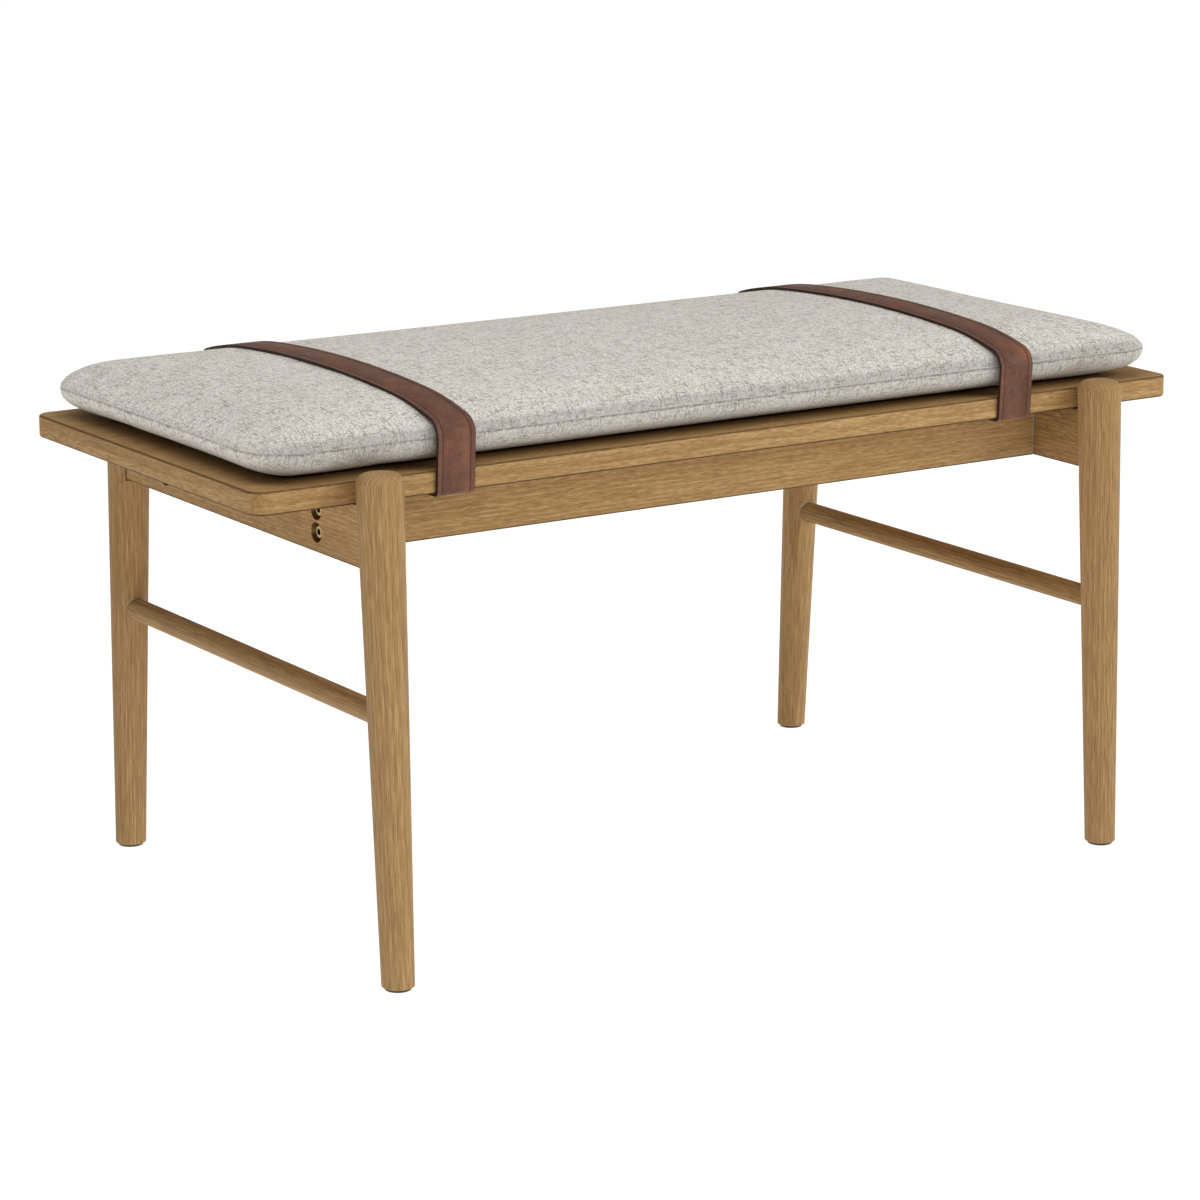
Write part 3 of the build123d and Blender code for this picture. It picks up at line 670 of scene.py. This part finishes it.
cloths = {
    # the tones that a bit of yarn can have, from none to all of its fibres dark
    "tones": [
        (0.1, "#FAF7F1"), (0.42, "#E4DFD7"), (0.66, "#BBB6AB"), (0.82, "#8C877C"),
        (1.0, "#5A564E"),
    ],
    "tints": [(0.36, "#DCC6C1"), (0.5, "#CECECE"), (0.64, "#C4CDB6")],  # rosy to greenish
    "slub": "#716E63",
    "even": "#D2CDC4",
    # the painted shade in the seam's groove
    "seam": "#3E3A33",
    "sheen": "#F4EFE6",
    "thread": 0.85 * mm,  # drawn coarser than the real yarn, which is too fine to show
    "haze": 27.78 * mm,
    "tintSpacing": 13.333 * mm,
    "slubLength": 8 * mm,
    "seamShadeGap": 3.846 * mm,
    "puckerSpacing": 10.526 * mm,
    "puckerReach": 11 * mm,  # from the seam
    "puckerDepth": 2.6 * mm,
}


def wovenCloth():
    # Slub-yarn upholstery weave, dyed in the fibre: every visible bit of yarn has its own
    # tone, and rosy and greenish fibres gather in patches. Here and there a yarn runs dark
    # for a few millimetres, along either direction of the weave. The seam draws puckers.
    material, tree = newMaterial("heatherWeave")
    flatPlace = addNode(tree, "UVMap", {"uv_map": "threads"})[0]
    straight = addNode(tree, "VectorMath", {
        "operation": "SCALE", 0: flatPlace, "Scale": 1 / cloths["thread"],
    })[0]
    wobble = addNode(tree, "TexNoise", {"Scale": 0.15, "Detail": 1.0, "Vector": straight})["Color"]
    wobble = addNode(tree, "VectorMath", {
        "operation": "SUBTRACT", 0: wobble, 1: (0.5, 0.5, 0.5),
    })[0]
    wobble = addNode(tree, "VectorMath", {"operation": "SCALE", 0: wobble, "Scale": 0.9})[0]
    perThread = addNode(tree, "VectorMath", {"operation": "ADD", 0: straight, 1: wobble})[0]

    yarns = []
    for stretch, seed in (((1, 0.7, 1), 3.3), ((0.7, 1, 1), 17.9)):  # warp, then weft
        bits = addNode(tree, "VectorMath", {"operation": "MULTIPLY", 0: perThread, 1: stretch})[0]
        bits = addNode(tree, "VectorMath", {
            "operation": "ADD", 0: bits, 1: (seed, seed * 1.7, 0),
        })[0]
        bits = addNode(tree, "VectorMath", {"operation": "FLOOR", 0: bits})[0]
        yarns.append(addNode(tree, "TexWhiteNoise", {
            "noise_dimensions": "2D", "Vector": bits,
        })["Value"])
    checks = addNode(tree, "TexChecker", {
        "Scale": 1.0, "Color1": linear("#FFFFFF"), "Color2": linear("#000000"),
        "Vector": perThread,
    })["Fac"]
    onTop = addNode(tree, "Mix", {"data_type": "FLOAT", 0: checks, 2: yarns[0], 3: yarns[1]})[0]
    fuzz, haze, tints = [addNode(tree, "TexNoise", {
        "Scale": 1 / size, "Detail": detail, "Roughness": rough, "Vector": flatPlace,
    })[0] for size, detail, rough in (
        (cloths["thread"] / 0.7, 3.0, 0.7), (cloths["haze"], 3.0, 0.6),
        (cloths["tintSpacing"], 4.0, 0.6),
    )]
    tone = -0.32
    for layer, share in ((onTop, 0.76), (fuzz, 0.55), (haze, 0.2)):
        tone = addNode(tree, "Math", {"operation": "MULTIPLY_ADD", 0: layer, 1: share, 2: tone})[0]
    colour = addNode(tree, "ValToRGB", {"stops": cloths["tones"], 0: tone})[0]
    tints = addNode(tree, "ValToRGB", {"stops": cloths["tints"], 0: tints})[0]
    colour = addNode(tree, "Mix", {
        "data_type": "RGBA", "blend_type": "SOFT_LIGHT", 0: 0.75, 6: colour, 7: tints,
    })[2]

    threads = addNode(tree, "SeparateXYZ", {0: perThread})
    for across, along, seed in (("Y", "X", 5.5), ("X", "Y", 31.5)):
        # dark slubs: now and then a yarn runs dark for a bit, each from a place of its own
        row = addNode(tree, "Math", {"operation": "FLOOR", 0: threads[across]})[0]
        row = addNode(tree, "Math", {"operation": "ADD", 0: row, 1: seed})[0]
        start = addNode(tree, "TexWhiteNoise", {"noise_dimensions": "1D", "W": row})["Value"]
        bit = addNode(tree, "Math", {
            "operation": "MULTIPLY_ADD", 0: threads[along],
            1: cloths["thread"] / cloths["slubLength"], 2: start,
        })[0]
        whole = addNode(tree, "Math", {"operation": "FLOOR", 0: bit})[0]
        cell = addNode(tree, "CombineXYZ", {0: whole, 1: row})[0]
        chance = addNode(tree, "TexWhiteNoise", {"noise_dimensions": "2D", "Vector": cell})["Value"]
        chance = addNode(tree, "Math", {
            "operation": "MULTIPLY_ADD", 0: haze, 1: 0.12, 2: chance,
        })[0]
        chance = addNode(tree, "MapRange", {0: chance, 1: 0.95, 2: 1.0, 4: 0.6})[0]
        ends = addNode(tree, "Math", {"operation": "PINGPONG", 0: bit, 1: 0.5})[0]
        ends = addNode(tree, "MapRange", {0: ends, 2: 0.2})[0]
        dark = addNode(tree, "Math", {"operation": "MULTIPLY", 0: chance, 1: ends})[0]
        colour = addNode(tree, "Mix", {
            "data_type": "RGBA", 0: dark, 6: colour, 7: linear(cloths["slub"]),
        })[2]

    # painted shade on the sides, darker and more even than the top; painted light on the lower
    # panel and the ends
    coordinate = addNode(tree, "TexCoord")
    facing = addNode(tree, "SeparateXYZ", {0: coordinate["Normal"]})
    sideways = addNode(tree, "Math", {"operation": "ABSOLUTE", 0: facing["X"]})[0]
    evened = addNode(tree, "MapRange", {0: facing["Z"], 1: 0.55, 2: 0.985, 3: 0.3, 4: 0.0})[0]
    colour = addNode(tree, "Mix", {
        "data_type": "RGBA", 0: evened, 6: colour, 7: linear(cloths["even"]),
    })[2]
    for direction, low, high, toLow, toHigh in (
        (facing["Z"], 0.55, 0.985, 0.67, 1.0),
        (facing["Z"], -0.1, 0.1, 1.13, 1.0),
        (sideways, 0.3, 0.9, 1.0, 1.45),
    ):
        cleanAndPaintedLight = addNode(tree, "MapRange", {0: direction, 1: low, 2: high, 3: toLow, 4: toHigh})[0]
        colour = addNode(tree, "Mix", {
            "data_type": "RGBA", "blend_type": "MULTIPLY", 0: 1.0, 6: colour, 7: cleanAndPaintedLight,
        })[2]

    # painted shade in the seam's groove: a dark line, broken here and there
    fromSeam = addNode(tree, "SeparateXYZ", {0: coordinate["Object"]})["Z"]
    fromSeam = addNode(tree, "Math", {
        "operation": "SUBTRACT", 0: fromSeam, 1: cushionFacts["seam"],
    })[0]
    fromSeam = addNode(tree, "Math", {"operation": "ABSOLUTE", 0: fromSeam})[0]
    seamShadeBreaks = addNode(tree, "TexNoise", {
        "Scale": 1 / cloths["seamShadeGap"], "Detail": 2.0, "Vector": coordinate["Object"],
    })[0]
    seamShadeBreaks = addNode(tree, "MapRange", {0: seamShadeBreaks, 1: 0.42, 2: 0.58, 3: 0.15})[0]
    seamShade = addNode(tree, "MapRange", {0: fromSeam, 1: 0.4 * mm, 2: 1.1 * mm, 3: 0.4, 4: 0.0})[0]
    seamShade = addNode(tree, "Math", {"operation": "MULTIPLY", 0: seamShade, 1: seamShadeBreaks})[0]
    colour = addNode(tree, "Mix", {
        "data_type": "RGBA", 0: seamShade, 6: colour, 7: linear(cloths["seam"]),
    })[2]

    upright = addNode(tree, "VectorMath", {
        "operation": "MULTIPLY", 0: coordinate["Object"], 1: (1, 1, 0.25),
    })[0]
    upright = addNode(tree, "TexNoise", {
        "Scale": 1 / cloths["puckerSpacing"], "Detail": 2.0, "Vector": upright,
    })[0]
    gather = addNode(tree, "MapRange", {
        "interpolation_type": "SMOOTHSTEP", 0: fromSeam, 2: cloths["puckerReach"], 3: 1.0, 4: 0.0,
    })[0]
    pucker = addNode(tree, "Math", {"operation": "MULTIPLY", 0: upright, 1: gather})[0]
    gathered = addNode(tree, "Bump", {
        "Strength": 0.7, "Distance": cloths["puckerDepth"], "Height": pucker,
    })[0]
    ridge = addNode(tree, "VectorMath", {"operation": "SCALE", 0: perThread, "Scale": math.pi})[0]
    ridge = addNode(tree, "VectorMath", {"operation": "SINE", 0: ridge})[0]
    ridge = addNode(tree, "VectorMath", {"operation": "ABSOLUTE", 0: ridge})[0]
    ridge = addNode(tree, "SeparateXYZ", {0: ridge})
    relief = addNode(tree, "Math", {"operation": "MULTIPLY", 0: ridge["X"], 1: ridge["Y"]})[0]
    relief = addNode(tree, "Math", {"operation": "MULTIPLY_ADD", 0: relief, 1: 0.8, 2: onTop})[0]
    surface = addNode(tree, "BsdfPrincipled", {
        "Base Color": colour,
        "Roughness": 0.92,
        "Specular IOR Level": 0.2,
        "Sheen Weight": 0.4,
        "Sheen Roughness": 0.4,
        "Sheen Tint": linear(cloths["sheen"]),
        "Normal": addNode(tree, "Bump", {
            "Strength": 0.35, "Distance": 0.35 * mm, "Height": relief, "Normal": gathered,
        })[0],
    })[0]
    addNode(tree, "OutputMaterial", {"Surface": surface})
    return material


dressed(cushion, wovenCloth())
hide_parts("cushion_cover", "cushion_foam")
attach(cushion, "root")
print("cushion done")


# Straps: a flat strip run back under the board, round its edge and over the cushion

strapFacts = {
    "width": 35 * mm,
    "thickness": 2.4 * mm,
    "place": 284.5 * mm,
    "start": (-151.0 * mm, 388.3 * mm),  # outer face of the end under the board, at the front
    "firstRun": 10 * mm,
    # the outer face seen from the side, up to the middle of the seat: a run to (y, z), or
    # an arc's centre (y, z), its turn in degrees and its steps
    "way": (
        ("run", -195.0 * mm, 388.3 * mm),
        ("arc", -195.0 * mm, 393.0 * mm, 87.367, 12),
        ("run", -201.620 * mm, 434.649 * mm),
        ("arc", -180.942 * mm, 435.6 * mm, 2.633, 1),
        ("arc", -184.942 * mm, 435.6 * mm, 74.229, 18),
        ("arc", -98.454 * mm, 129.373 * mm, 11.371, 12),
        ("arc", 1.058 * mm, -1163.803 * mm, 4.3632, 14),
    ),
    "lineInset": 4.6 * mm,  # of the pressed line, from the strap's edge
    "lineHalfWidth": 0.6 * mm,
    "lineDepth": 0.45 * mm,
    "endCorner": 6 * mm,
    "edgeRounding": 0.7 * mm,
}


def makeStrap(name, place):
    near = 0.01 * mm
    lineAway = strapFacts["width"] / 2 - strapFacts["lineInset"]
    startY, height = strapFacts["start"]
    endY = startY - strapFacts["firstRun"]
    bpy.ops.mesh.primitive_plane_add(size=1, location=(place, (startY + endY) / 2, height))
    strap = bpy.context.object
    strap.name = name
    strap.scale = (strapFacts["width"], startY - endY, 1)
    bpy.ops.object.transform_apply(location=True, rotation=True, scale=True)
    pick(strap, lambda v: v.co.y > startY - near)
    bpy.ops.mesh.bevel(affect="VERTICES", offset=strapFacts["endCorner"], segments=6)
    tip = (endY, height)
    pick(strap, lambda v: v.co.y < endY + near)
    for kind, *facts in strapFacts["way"]:
        if kind == "run":
            step = (0, facts[0] - tip[0], facts[1] - tip[1])
            bpy.ops.mesh.extrude_region_move(TRANSFORM_OT_translate={"value": step})
            tip = (facts[0], facts[1])
        else:
            y, z, degrees, steps = facts
            turn = math.radians(degrees)
            bpy.ops.mesh.spin(steps=steps, angle=turn, center=(place, y, z), axis=(1, 0, 0))
            dy, dz = tip[0] - y, tip[1] - z
            tip = (
                y + dy * math.cos(turn) + dz * math.sin(turn),
                z - dy * math.sin(turn) + dz * math.cos(turn),
            )
    print(name, "top at", [round(v / mm, 2) for v in tip])
    for side in (-1, 1):
        for lift in (-1, 0, 1):
            cut = place + side * (lineAway + lift * strapFacts["lineHalfWidth"])
            bpy.ops.mesh.select_all(action="SELECT")
            bpy.ops.mesh.bisect(plane_co=(cut, 0, 0), plane_no=(1, 0, 0))
    bpy.ops.mesh.select_all(action="SELECT")
    bpy.ops.mesh.remove_doubles(threshold=near)
    bpy.ops.mesh.normals_make_consistent(inside=False)
    bpy.ops.object.mode_set(mode="OBJECT")
    # the strip is open, so the sense of its faces is set from its end, which looks down
    low = min(strap.data.polygons, key=lambda f: f.center.z)
    if low.normal.z > 0:
        bpy.ops.object.mode_set(mode="EDIT")
        bpy.ops.mesh.select_all(action="SELECT")
        bpy.ops.mesh.flip_normals()
        bpy.ops.object.mode_set(mode="OBJECT")
    outer = len(strap.data.vertices)
    leather = strap.modifiers.new("leather", "SOLIDIFY")
    leather.thickness, leather.offset, leather.use_even_offset = strapFacts["thickness"], -1, True
    applyAll(strap)
    pick(strap, lambda f: abs(f.center.y) < near, "polygons")
    bpy.ops.mesh.delete(type="FACE")  # nothing inside where the two halves meet
    pick(strap, lambda v: v.index < outer and abs(abs(v.co.x - place) - lineAway) < near)
    bpy.ops.transform.shrink_fatten(value=-strapFacts["lineDepth"])
    bpy.ops.object.mode_set(mode="OBJECT")
    mirror = strap.modifiers.new("backHalf", "MIRROR")
    mirror.use_axis = (False, True, False)
    mirror.merge_threshold = 0.05 * mm
    rims = strap.modifiers.new("softRims", "BEVEL")
    rims.width, rims.segments, rims.angle_limit = strapFacts["edgeRounding"], 3, math.radians(60)
    applyAll(strap)
    bpy.ops.object.shade_smooth_by_angle(angle=math.radians(40))
    return strap


leatherFacts = {
    "tones": [(0.42, "#523429"), (0.6, "#6A493A"), (0.78, "#875840")],
    "rim": "#2E1A13",
    "cloud": 18.18 * mm,
    "drawn": 16.67 * mm,  # patches drawn out along the strap
    "grain": 2.381 * mm,
    "poreSpacing": 0.9 * mm,  # drawn coarser than real ones, which are too fine to show
}


def tannedLeather(name, place):
    # Vegetable-tanned cowhide, dyed chestnut, waxed and burnished at its rims: mottled
    # brown with tan patches where the dye took less, a low, soft shine that varies with
    # the wax, fine pores, and nearly black rims.
    material, tree = newMaterial(name)
    coordinate = addNode(tree, "TexCoord")["Object"]
    half = strapFacts["width"] / 2
    across = addNode(tree, "Mapping", {"Location": (-place, 0, 0), "Vector": coordinate})[0]
    across = addNode(tree, "SeparateXYZ", {0: across})["X"]
    across = addNode(tree, "Math", {"operation": "ABSOLUTE", 0: across})[0]
    fromLine = addNode(tree, "Math", {
        "operation": "SUBTRACT", 0: across, 1: half - strapFacts["lineInset"],
    })[0]
    fromLine = addNode(tree, "Math", {"operation": "ABSOLUTE", 0: fromLine})[0]
    stretched = addNode(tree, "VectorMath", {
        "operation": "MULTIPLY", 0: coordinate, 1: (1, 0.35, 0.35),
    })[0]
    cloud, drawn, grain = [addNode(tree, "TexNoise", {
        "Scale": 1 / leatherFacts[kind], "Detail": detail, "Roughness": rough, "Vector": vector,
    })[0] for kind, detail, rough, vector in (
        ("cloud", 5.0, 0.62, coordinate), ("drawn", 4.0, 0.6, stretched),
        ("grain", 3.0, 0.5, coordinate),
    )]
    tone = 0.06
    for layer, share in ((grain, 0.3), (drawn, 0.4), (cloud, 0.4)):
        tone = addNode(tree, "Math", {"operation": "MULTIPLY_ADD", 0: layer, 1: share, 2: tone})[0]
    colour = addNode(tree, "ValToRGB", {"stops": leatherFacts["tones"], 0: tone})[0]
    for source, low, high, toLow, toHigh in (
        (fromLine, 0.2 * mm, 0.7 * mm, 0.6, 0.0),  # the pressed line
        (across, half - 0.8 * mm, half, 0.0, 0.9),  # the burnished rims
    ):
        amount = addNode(tree, "MapRange", {
            "interpolation_type": "SMOOTHSTEP", 0: source, 1: low, 2: high, 3: toLow, 4: toHigh,
        })[0]
        colour = addNode(tree, "Mix", {
            "data_type": "RGBA", 0: amount, 6: colour, 7: linear(leatherFacts["rim"]),
        })[2]
    pores = addNode(tree, "TexVoronoi", {
        "Scale": 1 / leatherFacts["poreSpacing"], "Vector": coordinate,
    })["Distance"]
    relief = addNode(tree, "Math", {"operation": "ADD", 0: pores, 1: grain})[0]
    surface = addNode(tree, "BsdfPrincipled", {
        "Base Color": colour,
        "Roughness": addNode(tree, "MapRange", {0: drawn, 1: 0.35, 2: 0.65, 3: 0.36, 4: 0.6})[0],
        "IOR": 1.5,
        "Specular IOR Level": 0.16,
        "Normal": addNode(tree, "Bump", {
            "Strength": 0.3, "Distance": 0.12 * mm, "Height": relief,
        })[0],
    })[0]
    addNode(tree, "OutputMaterial", {"Surface": surface})
    return material


straps = {"left": makeStrap("leatherStrapLeft", -strapFacts["place"])}
apart = (2 * strapFacts["place"], 0, 0)
bpy.ops.object.duplicate_move(TRANSFORM_OT_translate={"value": apart})
bpy.ops.object.transform_apply(location=True, rotation=True, scale=True)
straps["right"] = bpy.context.object
straps["right"].name = "leatherStrapRight"
for sideName, side in (("left", -1), ("right", 1)):
    strap = straps[sideName]
    dressed(strap, tannedLeather(
        "chestnutLeather" + sideName.title(), side * strapFacts["place"],
    ))
    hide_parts("strap_" + sideName)
    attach(strap, "root")
print("straps done")


bpy.context.view_layer.update()
